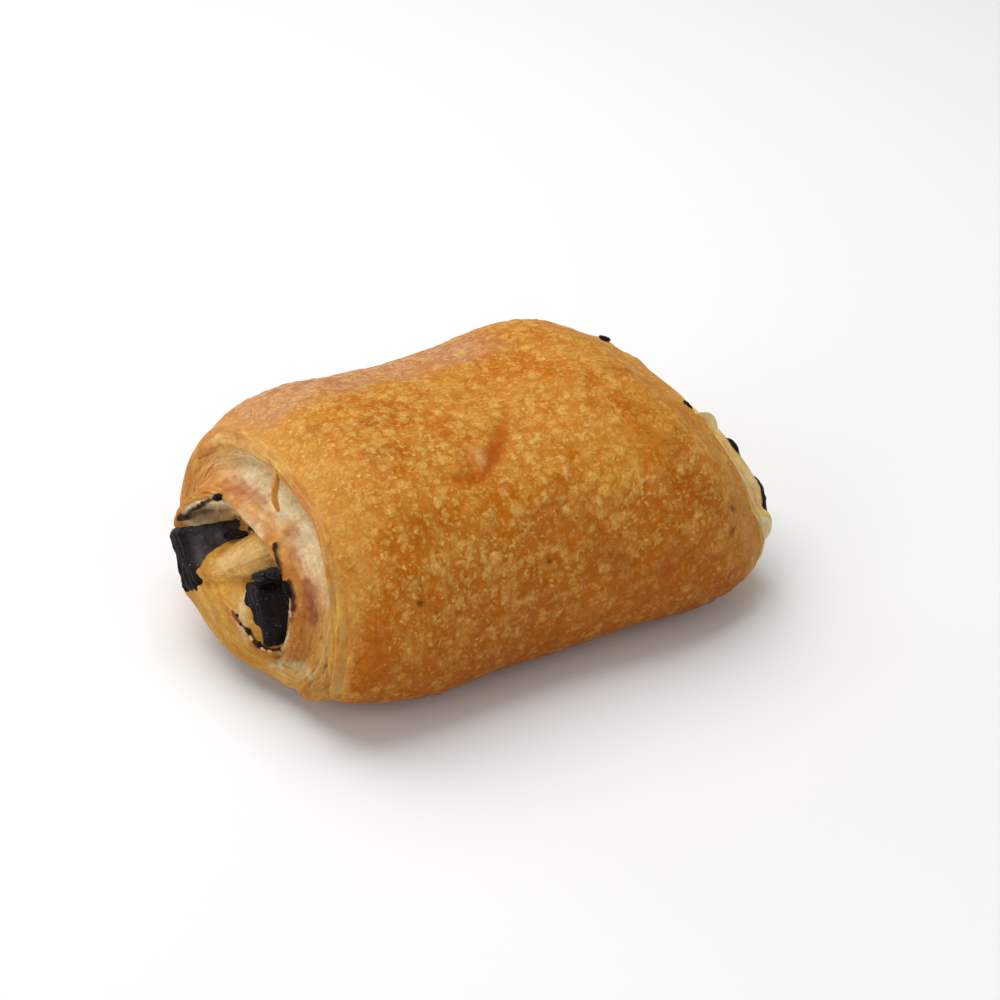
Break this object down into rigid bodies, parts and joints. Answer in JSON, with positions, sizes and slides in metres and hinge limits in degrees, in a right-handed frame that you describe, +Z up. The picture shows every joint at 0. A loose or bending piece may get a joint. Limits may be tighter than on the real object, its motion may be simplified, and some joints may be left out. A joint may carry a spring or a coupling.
{
  "type": "pain au chocolat",
  "caption": "Rolled puff pastry with a glossy egg-washed crust and dark chocolate sticks running through it, showing at both ends.",
  "frame": {"origin": "centre of the footprint, on the surface that the pastry rests on", "axes": "+X runs along the roll and the end that shows its layers and chocolate is at -X, -Y is the long side that was nearest to the camera, +Z points up"},
  "size_m": [0.103, 0.0702, 0.0434],
  "materials": {
    "crust": "baked and egg-washed: mottled golden brown with a soft gloss, paler and matte where the layers show",
    "chocolate": "baked dark chocolate: near black, satin, with a faint violet sheen"
  },
  "bodies": {
    "root": {"pastry": "crust", "chocolate_stick_upper": "chocolate", "chocolate_stick_lower": "chocolate"}
  },
  "joints": []
}
